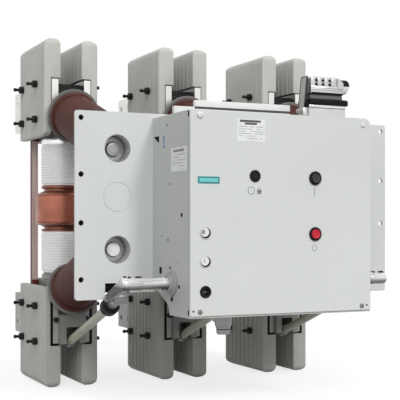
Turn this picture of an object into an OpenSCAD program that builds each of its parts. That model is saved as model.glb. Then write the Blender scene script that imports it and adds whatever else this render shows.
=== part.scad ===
// Three-pole vacuum circuit breaker for high currents.
// Origin: middle of the mounting plate, on its back face.
// +X to the right as an operator sees it, +Y back towards the poles, +Z up.

/* [Poles] */
// Distance between the centres of neighbouring poles
pole_pitch = 275; // [265:5:300]
// Height of the upper and lower insulator fixings above and below the middle
fixing_rise = 100; // [95:1:105]
// Angle by which the post insulators splay
insulator_tilt = 18.2; // [17:0.1:19]
// Diameter of a post insulator's body
insulator_d = 100; // [90:1:104]
// Distance of the interrupters' axis behind the mounting plate
interrupter_y = 361; // [358:1:366]
// Outer diameter of the interrupter's ceramics
ceramic_d = 96; // [80:1:98]
// Outer diameter of the interrupter's middle shield
shield_d = 118; // [104:1:122]

/* [Heat sinks] */
// Front face of the heat sinks
sink_front = 292; // [292:1:296]
// Depth of the heat sinks from front to back
sink_depth = 205; // [190:1:220]
// Height of the upper heat sinks' top
sink_top = 367; // [340:1:390]
// Height of the lower heat sinks' underside
sink_bottom = -414; // [-430:1:-390]

/* [Terminals] */
// Thickness of a terminal bar
bar_t = 15; // [10:1:16]
// Height of a terminal bar
bar_h = 97; // [80:1:99]
// Rear end of the terminal bars
bar_end = 610; // [580:5:640]
// Diameter of the holes for the busbar bolts
bar_hole_d = 14; // [10:1:18]
// Distance between neighbouring busbar holes
bar_hole_gap = 50; // [40:1:55]

/* [Mounting plate] */
// Width of the mounting plate
plate_w = 725; // [700:5:760]
// Height of the mounting plate
plate_h = 370; // [366:1:376]
// Thickness of the mounting plate
plate_t = 6; // [4:1:8]
// Diameter of the fixing holes
fixing_hole_d = 11; // [9:1:13]
// Width between the two columns of fixing holes
fixing_w = 700; // [680:5:705]

/* [Mechanism box] */
// Width of the mechanism box
box_w = 400; // [390:1:410]
// Depth of the mechanism box in front of the mounting plate
box_d = 180; // [176:1:190]
// Half the width of the slot for the middle lever
slot_half = 33; // [31:1:36]
// Diameter of a push button's guide ring
button_d = 27; // [25:1:32]

/* [Operating linkage] */
// Diameter of the switching shaft
shaft_d = 22; // [20:1:24]
// Diameter of the operating rods
rod_d = 19; // [16:1:20]
// Length of an operating rod from its front pin to its rear end
rod_length = 352; // [342:1:358]

/* [Hidden] */
$fn = 64;

poles = [-pole_pitch, 0, pole_pitch];
sides = [-1, 1];

// Mounting plate
plate_mid_z = -13;
plate_bottom = plate_mid_z - plate_h/2;
plate_front = -plate_t;
fixing_rows = [158, 47.5];
access_d = 55;
knockout_d = 59;
knockout_z = 4;
notch_w = 52;
notch_top = -166;
// The plate between the outer notches stops short of its own lower corners
plate_inner_bottom = plate_bottom + 13;

// Mechanism box: its section in the Y-Z plane, cut away below at the back
box_back = plate_front;
box_front = plate_front - box_d + 3;
box_top = 162;
box_section = [
    [box_back, box_top], [box_front, box_top], [box_front, -225], [-92, -225],
    [-85, -206], [-28, -180], [box_back, -176]
];
box_round = 16;
cover_t = 3;
cover_w = box_w - 2;
cover_bottom = -221;
cover_top = 162;
cover_face = box_front - cover_t;
cover_screws = [[-179, 152.6], [181, 148.5], [-179, -213], [181, -213]];
button_x = 69;
on_z = 40;
off_z = -69;
plunger_d = 18.6;
guide_bore_d = 19.4;
guide_proud = 4;
lock_at = [-64, 41.5];
column_x = -168;
window_z = [-66.5, -120];
socket_z = -176;
small_d = 23;

// Top of the box
duct_left = -155;
duct_right = 56;
duct_y = -107;
duct_depth = 10;
duct_base_top = 173;
duct_lid_bottom = 177.5;
duct_top = 190;
plug_x = 123;
plug_w = 86;
plug_y = -124;
plug_depth = 44;
hood_left = 84.5;
hood_right = 162;
hood_top = 246.7;
latch_x = 70;
latch_z = 178;

// Switching shaft, its levers and the operating rods
shaft_y = -106;
shaft_z = -163;
shaft_left = -pole_pitch - 30;
shaft_right = pole_pitch + 13;
pin_y = -16;
pin_z = -195;
pin_d = 12;
hub_d = 24;
hub_left = -23;
hub_right = 11;
lever_d = 26;
lever_in = 18;
lever_out = 28;
lever_end_d = 15;
eye_d = 28;
eye_w = 30;
running_gap = 0.05;
lever_length = norm([pin_y - shaft_y, pin_z - shaft_z]);
lever_angle = atan2(pin_z - shaft_z, pin_y - shaft_y);
rod_angle = -20.5;
eye_neck = 47;
cap_d = 37;
cap_l = 22;

// Poles
collar_d = 108;
flange_d = 118;
flange_at = 296;
flange_t = 5;
boss_end = 352;
neck_d = 54;
head_w = 60;
head_back = 499;
upper_head_bottom = 146;
upper_head_top = 250;
lower_head_top = -178;
lower_head_bottom = -316;
lower_head_front = 279;
slot_w = 30;
slot_top = -279;
slot_back = 335;
sink_in = 25;
sink_out = 63;
web_in = 47;
upper_web_bottom = 149;
upper_block_bottom = 278;
lower_web_top = -189;
lower_block_top = -320;
upper_bar_z = 226.5;
lower_bar_z = -267;
ceramic_top = 146;
ceramic_bottom = -159;
shield_top = 22.5;
shield_bottom = -51;
neck_top = 39;
neck_bottom = -65;
strut_y = 456;
strut_w = 15;
strut_t = 14;
strut_top = 172;
strut_bottom = -217;

// Rounds one corner of a flat outline: (ix, iz) points into the outline.
module nick(x, z, ix, iz, r) {
    difference() {
        polygon([[x - ix, z - iz], [x + ix*r, z - iz], [x + ix*r, z + iz*r], [x - ix, z + iz*r]]);
        translate([x + ix*r, z + iz*r]) circle(r);
    }
}

// Rectangle with its own radius at each corner: [top left, top right, bottom right, bottom left].
module round_rect(x0, z0, x1, z1, r) {
    difference() {
        translate([x0, z0]) square([x1 - x0, z1 - z0]);
        if (r[0] > 0) nick(x0, z1, 1, -1, r[0]);
        if (r[1] > 0) nick(x1, z1, -1, -1, r[1]);
        if (r[2] > 0) nick(x1, z0, -1, 1, r[2]);
        if (r[3] > 0) nick(x0, z0, 1, 1, r[3]);
    }
}

// Extrudes an X-Z outline towards +Y, from y to y + depth.
module facing_front(y, depth) translate([0, y + depth, 0]) rotate([90, 0, 0]) linear_extrude(depth) children();

// Extrudes a Y-Z outline towards +X, from x to x + width.
module facing_side(x, width) translate([x, 0, 0]) rotate([90, 0, 90]) linear_extrude(width) children();

// Round bar along Y, and along X, centred on its axis.
module y_bar(x, z, y0, y1, d) translate([x, y0, z]) rotate([-90, 0, 0]) cylinder(d = d, h = y1 - y0);
module x_bar(y, z, x0, x1, d) translate([x0, y, z]) rotate([0, 90, 0]) cylinder(d = d, h = x1 - x0);

module block(x0, x1, y0, y1, z0, z1) translate([x0, y0, z0]) cube([x1 - x0, y1 - y0, z1 - z0]);

// Puts what is drawn along +Z on an insulator's axis; side is 1 above and -1 below.
module on_insulator_axis(side) {
    translate([0, plate_front, side*fixing_rise]) rotate([side*insulator_tilt - 90, 0, 0]) children();
}

module mounting_plate() {
    color("gainsboro") difference() {
        facing_front(plate_front, plate_t)
            round_rect(-plate_w/2, plate_bottom, plate_w/2, plate_bottom + plate_h, [6, 6, 6, 6]);
        for (sx = sides, sz = sides, row = fixing_rows)
            y_bar(sx*fixing_w/2, sz*row, plate_front - 1, 1, fixing_hole_d);
        for (x = poles) {
            for (sz = sides) y_bar(x, sz*fixing_rise, plate_front - 1, 1, access_d);
            difference() {
                y_bar(x, knockout_z, plate_front - 1, plate_front + 1, knockout_d);
                y_bar(x, knockout_z, plate_front - 2, plate_front + 2, knockout_d - 2);
            }
            block(x - notch_w/2, x + notch_w/2, plate_front - 1, 1, plate_bottom - 1, notch_top);
        }
        block(poles[0], poles[2], plate_front - 1, 1, plate_bottom - 1, plate_inner_bottom);
    }
}

// Closed box, solid but for the shaft's tunnel, the middle lever's slot and the pockets behind the front plate.
module mechanism_housing() {
    color("silver") difference() {
        facing_side(-box_w/2, box_w) polygon(box_section);
        facing_front(box_front - 1, box_d + 2) nick(box_w/2, box_top, -1, -1, box_round);
        x_bar(shaft_y, shaft_z, -box_w/2 - 1, box_w/2 + 1, shaft_d + 8);
        block(-slot_half, slot_half, shaft_y - 20, box_back + 1, -230, shaft_z + 20);
        for (z = [on_z, off_z]) y_bar(button_x, z, box_front - 1, box_front + 22, guide_bore_d + 4);
        for (z = window_z) y_bar(column_x, z, box_front - 1, box_front + 8, small_d - 3);
        y_bar(column_x, socket_z, box_front - 1, box_front + 8, small_d - 3);
        y_bar(lock_at[0], lock_at[1], box_front - 1, box_front + 8, small_d - 3);
    }
}

module front_plate() {
    color("gainsboro") difference() {
        facing_front(cover_face, cover_t)
            round_rect(-cover_w/2, cover_bottom, cover_w/2, cover_top, [2, box_round, 2, 2]);
        for (z = [on_z, off_z]) y_bar(button_x, z, cover_face - 1, box_front + 1, guide_bore_d + 2);
        for (z = window_z) y_bar(column_x, z, cover_face - 1, box_front + 1, small_d - 4);
        y_bar(column_x, socket_z, cover_face - 1, box_front + 1, small_d - 4);
        y_bar(lock_at[0], lock_at[1], cover_face - 1, box_front + 1, small_d - 4);
        for (s = cover_screws) y_bar(s[0], s[1], cover_face - 1, box_front + 1, 5);
    }
}

// Flanged tube in which a push button slides.
module button_guides() {
    color("black") for (z = [on_z, off_z]) difference() {
        union() {
            y_bar(button_x, z, cover_face - guide_proud, cover_face, button_d);
            y_bar(button_x, z, cover_face - guide_proud, box_front + 12, guide_bore_d + 1.6);
        }
        y_bar(button_x, z, cover_face - guide_proud - 1, box_front + 13, guide_bore_d);
    }
}

module push_button(z) {
    y_bar(button_x, z, cover_face - guide_proud - 2, box_front + 10, plunger_d);
}

// Flanged insert in the front plate, with a recess of its own.
module insert(x, z, proud, recess_d, recess) {
    difference() {
        union() {
            y_bar(x, z, cover_face - proud, cover_face, small_d);
            y_bar(x, z, cover_face - proud, box_front + 6, small_d - 4);
        }
        y_bar(x, z, cover_face - proud - 1, cover_face - proud + recess, recess_d);
    }
}

module key_lock() color("black") insert(lock_at[0], lock_at[1], 3, 12, 2);
module indicator_windows() color("white") for (z = window_z) insert(column_x, z, 2, 17, 3);
module crank_socket() color("black") insert(column_x, socket_z, 2, 14, 8);

module wiring_duct() {
    color("white") {
        y0 = duct_y - duct_depth/2;
        y1 = duct_y + duct_depth/2;
        block(-box_w/2 + 1, duct_right, y0, y1, box_top, duct_base_top);
        block(-box_w/2 + 1, duct_left, y0, y1, duct_base_top - 1, duct_lid_bottom - 0.9);
        block(duct_left + 3, duct_right - 3, y0 + 2, y1, duct_base_top - 1, duct_lid_bottom + 1);
        block(duct_left, duct_right, y0, y1, duct_lid_bottom, duct_top);
    }
}

module connector_base() {
    x0 = plug_x - plug_w/2;
    x1 = plug_x + plug_w/2;
    color("lightgray") block(x0, x1, plug_y - 21, plug_y + 21, box_top, 190);
    color("dimgray") block(x0 + 0.8, x1 + 5, plug_y - 24, plug_y + 24, 190, 202);
}

module connector_hood() {
    color("silver") {
        block(hood_left + 1, hood_right - 2, plug_y - 19, plug_y + 19, 202, 213);
        facing_front(plug_y - plug_depth/2, plug_depth)
            round_rect(hood_left, 213, hood_right, hood_top, [4, 12, 2, 2]);
        x_bar(plug_y, 231.5, hood_right - 4, hood_right + 19, 29);
    }
}

// Handle that swings out to the left about the pin at its foot.
module connector_lever() {
    color("dimgray") difference() {
        facing_front(plug_y - 19, 24) union() {
            polygon([
                [latch_x, latch_z + 1], [latch_x + 3.6, latch_z + 1], [latch_x + 9.4, 247], [latch_x + 6.8, 247]
            ]);
            translate([latch_x, latch_z]) circle(5);
        }
        y_bar(latch_x, latch_z, plug_y - 20, plug_y + 8, 5);
    }
}

module cable_gland() {
    color("gray") {
        translate([-97, -116, -248]) cylinder(d = 34, h = 23);
        translate([-97, -116, -254]) cylinder(d = 29, h = 6);
        translate([-97, -116, -264]) cylinder(d = 27, h = 10);
    }
}

module shaft_bearings() {
    color("silver") for (s = sides) difference() {
        union() {
            x_bar(shaft_y, shaft_z, s > 0 ? box_w/2 : -box_w/2 - 6, s > 0 ? box_w/2 + 6 : -box_w/2, 46);
            x_bar(shaft_y, shaft_z, s > 0 ? box_w/2 : -box_w/2 - 12, s > 0 ? box_w/2 + 12 : -box_w/2, 32);
        }
        x_bar(shaft_y, shaft_z, -box_w, box_w, shaft_d + 2*running_gap);
    }
}

// Flat link between two round ends, drawn along +Y in the Y-Z plane; its sides cross the rounds a little inside.
module link_outline(d1, d2, length) {
    inset = 0.3;
    circle(d = d1);
    translate([length, 0]) circle(d = d2);
    polygon([[0, d1/2 - inset], [length, d2/2 - inset], [length, inset - d2/2], [0, inset - d1/2]]);
}

// Lever of one flat arm on a hub; the rod's eye sits to the right of it.
module shaft_lever() {
    translate([0, shaft_y, shaft_z]) rotate([lever_angle, 0, 0]) difference() {
        union() {
            x_bar(0, 0, hub_left, hub_right, hub_d);
            facing_side(-lever_out, lever_out - lever_in) link_outline(lever_d, lever_end_d, lever_length);
        }
        x_bar(lever_length, 0, -lever_out - 1, 1 - lever_in, pin_d + 2*running_gap);
    }
}

module switching_shaft() {
    color("silver") {
        x_bar(shaft_y, shaft_z, shaft_left, shaft_right, shaft_d);
        for (x = poles) translate([x, 0, 0]) shaft_lever();
    }
}

// Puts what is drawn along +Y on an operating rod's axis, with the front pin at zero.
module on_rod_axis(pole) translate([poles[pole - 1], pin_y, pin_z]) rotate([rod_angle, 0, 0]) children();

// Eye at the front of an operating rod, with the pin that joins it to the lever.
module rod_eye(pole) {
    color("silver") on_rod_axis(pole) {
        x_bar(0, 0, -eye_w/2, eye_w/2, eye_d);
        x_bar(0, 0, -lever_out - 1, eye_w/2 + 1, pin_d);
        y_bar(0, 0, 0, eye_neck, 20);
    }
}

module rod_cap(pole) color("#222222") on_rod_axis(pole) y_bar(0, 0, eye_neck, eye_neck + cap_l, cap_d);

module operating_rod(pole) {
    color("#8f9078") on_rod_axis(pole) y_bar(0, 0, eye_neck + cap_l, rod_length, rod_d);
}

// Cast-resin post, cut off flush with the plate and bored for its fixing bolt.
module post_insulator(side) {
    difference() {
        intersection() {
            on_insulator_axis(side) translate([0, 0, -50]) union() {
                cylinder(d = insulator_d, h = 50 + flange_at);
                translate([0, 0, 50 + flange_at - 12]) cylinder(d = collar_d, h = 12);
            }
            block(-80, 80, 0, 400, -400, 400);
        }
        y_bar(0, side*fixing_rise, -1, 28, access_d);
    }
}

module insulators(pole) {
    color("#5a322c") translate([poles[pole - 1], 0, 0]) for (side = sides) post_insulator(side);
}

module head_flange(side) {
    on_insulator_axis(side) {
        translate([0, 0, flange_at]) cylinder(d = flange_d, h = flange_t);
        translate([0, 0, flange_at + flange_t - 1]) cylinder(d = neck_d, h = boss_end - flange_at - flange_t);
    }
}

module upper_head(pole) {
    color("darkgray") translate([poles[pole - 1], 0, 0]) {
        head_flange(1);
        block(-head_w/2, head_w/2, 312, head_back, upper_head_bottom, upper_head_top);
    }
}

module lower_head(pole) {
    color("darkgray") translate([poles[pole - 1], 0, 0]) difference() {
        union() {
            head_flange(-1);
            block(-head_w/2, head_w/2, 300, head_back, lower_head_bottom, lower_head_top);
            block(-head_w/2, head_w/2, lower_head_front, 310, lower_head_bottom, -250);
        }
        block(-slot_w/2, slot_w/2, lower_head_front - 1, slot_back, lower_head_bottom - 1, slot_top);
    }
}

// One heat sink to the right of the pole: thick finned block and thin web.
module upper_sink() {
    intersection() {
        facing_front(sink_front, sink_depth) union() {
            round_rect(sink_in, upper_block_bottom, sink_out, sink_top, [14, 20, 0, 0]);
            round_rect(web_in, upper_web_bottom, sink_out, upper_block_bottom + 1, [0, 0, 3, 3]);
        }
        facing_side(0, 100)
            round_rect(sink_front, upper_web_bottom, sink_front + sink_depth, sink_top, [14, 16, 12, 12]);
    }
}

module lower_sink() {
    intersection() {
        facing_front(sink_front, sink_depth) union() {
            round_rect(sink_in, sink_bottom, sink_out, lower_block_top, [0, 0, 20, 14]);
            round_rect(web_in, lower_block_top - 1, sink_out, lower_web_top, [3, 3, 0, 0]);
        }
        facing_side(0, 100)
            round_rect(sink_front, sink_bottom, sink_front + sink_depth, lower_web_top, [12, 12, 16, 14]);
    }
}

module heat_sinks(pole) {
    color("darkgray") translate([poles[pole - 1], 0, 0]) for (m = [0, 1]) mirror([m, 0, 0]) {
        upper_sink();
        lower_sink();
    }
}

// Pair of silver-plated bars at each pole, drilled at the rear for the busbars.
module terminals(mid_z) {
    color("whitesmoke") for (x = poles, s = sides) difference() {
        facing_side(x + (s > 0 ? head_w/2 : -head_w/2 - bar_t), bar_t)
            round_rect(sink_front, mid_z - bar_h/2, bar_end, mid_z + bar_h/2, [0, 5, 5, 0]);
        for (sy = [0, 1], sz = sides)
            x_bar(bar_end - 22 - sy*bar_hole_gap, mid_z + sz*bar_hole_gap/2, x - 100, x + 100, bar_hole_d);
    }
}

module upper_terminals() terminals(upper_bar_z);
module lower_terminals() terminals(lower_bar_z);

// Upright cylinder on each interrupter's axis.
module on_interrupters(z0, z1, d) for (x = poles) translate([x, interrupter_y, z0]) cylinder(d = d, h = z1 - z0);

module interrupter_ceramics() {
    color("white") {
        on_interrupters(neck_top, ceramic_top, ceramic_d);
        on_interrupters(ceramic_bottom, neck_bottom, ceramic_d);
    }
}

module interrupter_shields() {
    bevel = 5;
    color("#b5663f") for (x = poles) translate([x, interrupter_y, 0]) rotate_extrude() polygon([
        [0, neck_bottom], [ceramic_d/2 - 1, neck_bottom], [ceramic_d/2 - 1, shield_bottom],
        [shield_d/2 - bevel, shield_bottom], [shield_d/2, shield_bottom + bevel],
        [shield_d/2, shield_top - bevel], [shield_d/2 - bevel, shield_top],
        [ceramic_d/2 - 1, shield_top], [ceramic_d/2 - 1, neck_top], [0, neck_top]
    ]);
}

module interrupter_caps() color("gray") on_interrupters(lower_head_top, ceramic_bottom, ceramic_d - 12);

module struts() {
    color("#9a837c") for (x = poles, s = sides)
        block(x + (s > 0 ? head_w/2 : -head_w/2 - strut_w), x + (s > 0 ? head_w/2 + strut_w : -head_w/2),
              strut_y, strut_y + strut_t, strut_bottom, strut_top);
}

mounting_plate();
mechanism_housing();
front_plate();
button_guides();
color("black") push_button(on_z);  // on_button
color("crimson") push_button(off_z);  // off_button
key_lock();
indicator_windows();
crank_socket();
wiring_duct();
connector_base();
connector_hood();
connector_lever();
cable_gland();
shaft_bearings();
switching_shaft();
rod_eye(1);  // rod_eye_1
rod_eye(2);  // rod_eye_2
rod_eye(3);  // rod_eye_3
rod_cap(1);  // rod_cap_1
rod_cap(2);  // rod_cap_2
rod_cap(3);  // rod_cap_3
operating_rod(1);  // operating_rod_1
operating_rod(2);  // operating_rod_2
operating_rod(3);  // operating_rod_3
insulators(1);  // insulators_1
insulators(2);  // insulators_2
insulators(3);  // insulators_3
upper_head(1);  // upper_head_1
upper_head(2);  // upper_head_2
upper_head(3);  // upper_head_3
lower_head(1);  // lower_head_1
lower_head(2);  // lower_head_2
lower_head(3);  // lower_head_3
heat_sinks(1);  // heat_sinks_1
heat_sinks(2);  // heat_sinks_2
heat_sinks(3);  // heat_sinks_3
upper_terminals();
lower_terminals();
interrupter_ceramics();
interrupter_shields();
interrupter_caps();
struts();
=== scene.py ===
"""Vacuum circuit breaker: finishes, fittings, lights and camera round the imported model."""
import math

import bmesh
import bpy
from mathutils import Matrix, Vector


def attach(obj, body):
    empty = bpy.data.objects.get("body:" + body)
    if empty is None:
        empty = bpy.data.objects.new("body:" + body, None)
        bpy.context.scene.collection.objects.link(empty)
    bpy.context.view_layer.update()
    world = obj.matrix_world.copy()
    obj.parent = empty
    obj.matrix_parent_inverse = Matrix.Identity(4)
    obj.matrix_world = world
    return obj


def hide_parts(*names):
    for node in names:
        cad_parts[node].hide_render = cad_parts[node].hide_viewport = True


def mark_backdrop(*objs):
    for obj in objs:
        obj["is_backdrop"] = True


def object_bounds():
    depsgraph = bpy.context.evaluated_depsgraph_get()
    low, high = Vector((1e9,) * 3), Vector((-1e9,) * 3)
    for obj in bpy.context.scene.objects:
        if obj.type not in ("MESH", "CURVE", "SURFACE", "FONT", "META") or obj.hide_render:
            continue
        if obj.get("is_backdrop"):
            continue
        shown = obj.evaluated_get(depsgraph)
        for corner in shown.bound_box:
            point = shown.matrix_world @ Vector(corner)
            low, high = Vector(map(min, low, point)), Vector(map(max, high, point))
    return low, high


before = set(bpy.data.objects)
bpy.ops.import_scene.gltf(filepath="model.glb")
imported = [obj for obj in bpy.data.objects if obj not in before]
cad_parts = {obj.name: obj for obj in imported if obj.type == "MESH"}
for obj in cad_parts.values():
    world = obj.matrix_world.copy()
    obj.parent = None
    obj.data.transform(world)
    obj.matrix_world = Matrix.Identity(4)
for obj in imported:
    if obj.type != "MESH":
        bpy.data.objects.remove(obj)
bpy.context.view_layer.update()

MM = 0.001
# Radians that a new shape's edge turns by before it is rounded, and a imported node's before it is softened
SHARP = 0.6
SHARP_NODE = math.radians(35)
FRAME = "breaker_frame"
POLES = (-275.0, 0.0, 275.0)
SIDES = (-1, 1)
# Finished materials by name
COATS = {}


# ---------------------------------------------------------------- shader kit

def srgb(red, green, blue):
    """Linear colour for the 0 to 255 values that it shows as."""
    def linear(value):
        value /= 255.0
        return value / 12.92 if value <= 0.04045 else ((value + 0.055) / 1.055) ** 2.4
    return (linear(red), linear(green), linear(blue), 1.0)


def even(value):
    """Neutral linear colour."""
    return (value, value, value, 1.0)


def tinted(shade, factor, lift=0.0):
    """The colour made darker or lighter, no brighter than white."""
    return [min(1.0, part * factor + lift) for part in shade[:3]] + [1.0]


class Signal:
    """A shader socket; arithmetic on it adds Math nodes."""

    def __init__(self, finish, socket):
        self.finish = finish
        self.socket = socket

    def __add__(self, other):
        return self.finish.math("ADD", self, other)

    __radd__ = __add__

    def __mul__(self, other):
        return self.finish.math("MULTIPLY", self, other)

    __rmul__ = __mul__

    def __sub__(self, other):
        return self.finish.math("SUBTRACT", self, other)

    def __rsub__(self, other):
        return self.finish.math("SUBTRACT", other, self)

    def ramp(self, low, high):
        """0 up to low, 1 from high, and straight between them."""
        return self.finish.add("MapRange", {"clamp": True}, {0: self, 1: low, 2: high})


class Finish:
    """One material: its shader's constants, and the nodes that feed its sockets."""

    def __init__(self, name, **constants):
        self.name = name
        self.material = bpy.data.materials.new(name)
        self.material.use_nodes = True
        self.nodes = self.material.node_tree.nodes
        self.links = self.material.node_tree.links
        self.shader = self.nodes["Principled BSDF"]
        self.feed(self.shader, constants)

    def feed(self, node, sockets):
        """Links or sets a node's sockets; a keyword's underscores stand for spaces."""
        for name, value in sockets.items():
            socket = node.inputs[name.replace("_", " ") if isinstance(name, str) else name]
            if isinstance(value, Signal):
                self.links.new(value.socket, socket)
            else:
                socket.default_value = value

    def add(self, kind, settings, sockets, output=0):
        """Makes a node, sets it up, then feeds its sockets; gives one of its outputs."""
        node = self.nodes.new("ShaderNode" + kind)
        for name, value in settings.items():
            setattr(node, name, value)
        self.feed(node, sockets)
        return Signal(self, node.outputs[output])

    def math(self, operation, *values):
        return self.add("Math", {"operation": operation}, dict(enumerate(values)))

    def place(self, stretch=(1, 1, 1)):
        """Object coordinates in metres, stretched."""
        return self.add("Mapping", {}, {"Vector": self.add("TexCoord", {}, {}, "Object"), "Scale": stretch})

    def height(self):
        """Height above the object's origin, in metres."""
        return self.add("SeparateXYZ", {}, {0: self.add("TexCoord", {}, {}, "Object")}, "Z")

    def noise(self, scale, detail, stretch=(1, 1, 1), rough=0.5):
        sockets = {"Vector": self.place(stretch), "Scale": scale, "Detail": detail, "Roughness": rough}
        return self.add("TexNoise", {}, sockets)

    def cells(self, scale):
        return self.add("TexVoronoi", {}, {"Vector": self.place(), "Scale": scale})

    def mix(self, share, low, high):
        """Blend of two colours."""
        return self.add("Mix", {"data_type": "RGBA"}, {"Factor": share, 6: low, 7: high}, 2)

    def edges(self, radius):
        """1 along the corners of a piece and 0 on its flats."""
        plain = self.add("NewGeometry", {}, {}, "Normal")
        soft = self.add("Bevel", {"samples": 4}, {"Radius": radius})
        match = self.add("VectorMath", {"operation": "DOT_PRODUCT"}, {0: plain, 1: soft}, "Value")
        return (1 - match).ramp(0.004, 0.12)

    def bump(self, height, strength, depth):
        return self.add("Bump", {}, {"Height": height, "Strength": strength, "Distance": depth})

    def done(self, **links):
        """Feeds the shader and puts the material among the finished coats."""
        self.feed(self.shader, links)
        COATS[self.name] = self.material


# ---------------------------------------------------------------- finishes

def powder_coat(name, shade, worn):
    """Sprayed and baked paint: fine orange peel, faint clouding, rubbed edges."""
    paint = Finish(name, Specular_IOR_Level=0.4, Metallic=0.0)
    shade = srgb(*shade)
    cloud = paint.noise(4.0, 4.0)
    peel = paint.noise(900.0, 2.0)
    speck = paint.cells(260.0).ramp(0.05, 0.0)
    base = paint.mix(cloud.ramp(0.35, 0.7), shade, tinted(shade, 0.955))
    base = paint.mix(speck * 0.12, base, even(0.2))
    edge_rub_and_glint = paint.edges(0.0016) * paint.noise(60.0, 3.0).ramp(0.35, 0.65)
    base = paint.mix(edge_rub_and_glint * 0.5, base, srgb(*worn))
    rough = 0.42 + cloud * 0.08 + peel * 0.05 - edge_rub_and_glint * 0.08
    paint.done(Base_Color=base, Roughness=rough, Normal=paint.bump(peel, 0.10, 0.0003))


PAINTS = (
    ("plate_paint", (215, 218, 216), (188, 188, 186)),
    # Painted shade: the housing's paint is the cover's paint made darker, for the box's side walls
    ("housing_paint", (194, 197, 194), (178, 178, 176)),
    ("cover_paint", (217, 220, 217), (190, 190, 188)),
    # Painted shade: the bearings' paint is made darker
    ("bearing_paint", (168, 170, 168), (150, 150, 148)),
)


def cast_metal(name, shade, dark, rough, grain=0.5, metallic=0.0):
    """Sand casting under a thin coat: pitted skin, clouded, darker in the pits."""
    metal = Finish(name, Metallic=metallic, Specular_IOR_Level=0.45)
    shade, dark = srgb(*shade), srgb(*dark)
    cloud = metal.noise(11.0, 5.0)
    skin = metal.noise(420.0, 5.0, rough=0.65)
    pit = metal.cells(330.0).ramp(0.16, 0.0)
    base = metal.mix(cloud.ramp(0.3, 0.75) * 0.6, shade, dark)
    hollow = metal.add("Clamp", {}, {"Value": skin.ramp(0.62, 0.4) * 0.25 + pit * 0.3})
    base = metal.mix(hollow, base, dark)
    edge_rub_and_glint = metal.edges(0.002) * metal.noise(45.0, 3.0).ramp(0.4, 0.6)
    base = metal.mix(edge_rub_and_glint * 0.35, base, tinted(shade, 1.25))
    metal.done(Base_Color=base, Roughness=rough + cloud * 0.12 - edge_rub_and_glint * 0.1,
               Normal=metal.bump(skin - pit * 0.5, grain, 0.0005))


CASTINGS = (
    ("sink_coat", (204, 203, 198), (184, 183, 178), 0.55, 0.35),
    # Painted shade: the lower sinks' coat is the same coat, made darker
    ("sink_coat_dull", (196, 195, 190), (176, 175, 170), 0.6, 0.35),
    ("cast_head", (146, 145, 142), (112, 111, 108), 0.45, 0.4, 0.3),
    ("liner_steel", (190, 191, 191), (146, 147, 147), 0.24, 0.1, 0.6),
    ("browned_copper", (104, 60, 46), (78, 44, 34), 0.4, 0.2, 0.4),
    ("lever_casting", (122, 123, 122), (92, 92, 91), 0.32, 0.3, 0.5),
    ("gland_metal", (156, 157, 157), (116, 117, 117), 0.3, 0.3, 0.6),
)


def plated(name, shade, rough, stretch=(1, 1, 1), scratch=0.15, metallic=1.0):
    """Bright plating with fine drawn scratches and slightly dull patches."""
    metal = Finish(name, Metallic=metallic)
    shade = srgb(*shade)
    line = metal.noise(300.0, 3.0, stretch)
    cloud = metal.noise(14.0, 4.0)
    base = metal.mix(cloud.ramp(0.35, 0.7), shade, tinted(shade, 0.82))
    base = metal.mix(line.ramp(0.55, 0.75) * 0.25, base, tinted(shade, 0.6))
    metal.done(Base_Color=base, Roughness=rough + cloud * 0.12 + line * 0.1,
               Normal=metal.bump(line, scratch, 0.0002))


PLATINGS = (
    ("silver_plate", (226, 226, 222), 0.24, (0.1, 1, 1)),
    # Painted shade: the lower terminals' plating is the silver plate, darker and duller
    ("dull_silver", (176, 176, 173), 0.4, (0.1, 1, 1), 0.15, 0.25),
    ("polished_cap", (244, 244, 244), 0.2),
    ("eye_plate", (138, 139, 138), 0.2, (1, 1, 1), 0.15, 0.5),
    ("bright_zinc", (206, 207, 206), 0.26),
    ("chrome", (230, 231, 231), 0.12, (1, 1, 1), 0.05),
)


def drawn_shaft(low, high):
    """Drawn steel with long streaks, with a painted highlight along the top above high and painted shade
    underneath below low.
    """
    steel = Finish("shaft_steel", Metallic=0.3, Specular_IOR_Level=0.3)
    line = steel.noise(260.0, 3.0, (0.04, 1, 1))
    cloud = steel.noise(14.0, 4.0)
    # Painted highlight and shade: lighter towards the top of each piece and darker underneath, by height
    base = steel.mix((steel.height() + line * 0.008).ramp(low, high), srgb(70, 71, 70), srgb(246, 247, 246))
    base = steel.mix(line.ramp(0.5, 0.62) * 0.45, base, srgb(84, 84, 83))
    base = steel.mix(cloud.ramp(0.4, 0.75) * 0.3, base, srgb(150, 150, 148))
    steel.done(Base_Color=base, Roughness=0.2 + cloud * 0.12, Normal=steel.bump(line, 0.15, 0.0002))


def plastic(name, shade, rough, gloss=0.22, grain=0.08):
    """Moulded plastic: even colour, faint flow marks, soft sheen."""
    stuff = Finish(name, Specular_IOR_Level=gloss)
    shade = srgb(*shade)
    flow = stuff.noise(30.0, 4.0)
    skin = stuff.noise(1500.0, 2.0)
    edge_rub_and_glint = stuff.edges(0.0012)
    base = stuff.mix(flow.ramp(0.3, 0.7) * 0.5, shade, tinted(shade, 0.8))
    base = stuff.mix(edge_rub_and_glint * 0.25, base, tinted(shade, 1.3, 0.03))
    stuff.done(Base_Color=base, Roughness=rough + flow * 0.1, Normal=stuff.bump(skin, grain, 0.0001))


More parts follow.
